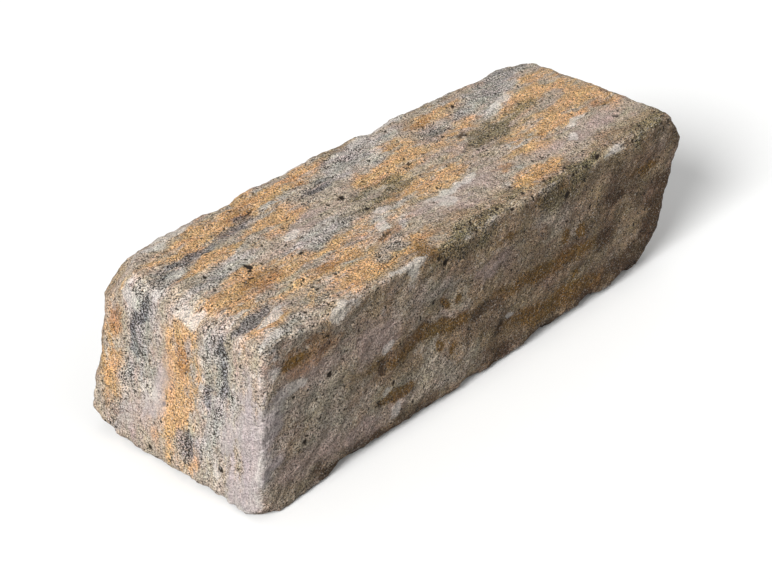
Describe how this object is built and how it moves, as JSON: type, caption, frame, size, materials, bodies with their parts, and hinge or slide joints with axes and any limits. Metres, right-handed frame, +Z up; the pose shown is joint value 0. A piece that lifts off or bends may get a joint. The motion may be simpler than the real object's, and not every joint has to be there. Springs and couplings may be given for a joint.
{
  "type": "tumbled wall block",
  "caption": "Long solid concrete walling block with worn, chipped edges and mottled ochre and grey streaks, laid dry or bedded in courses to build a garden wall.",
  "frame": {"origin": "centre of the block's box on the face that it is bedded on", "axes": "+X along the block from the near end to the far end, +Y from the front face to the rear face, +Z up"},
  "size_m": [0.3978, 0.13, 0.112],
  "materials": {
    "tumbled_concrete": "tumbled pigmented concrete, matt and gritty, with ochre, slate and pale grey streaks"
  },
  "bodies": {
    "root": {"wall_block": "tumbled_concrete"}
  },
  "joints": []
}
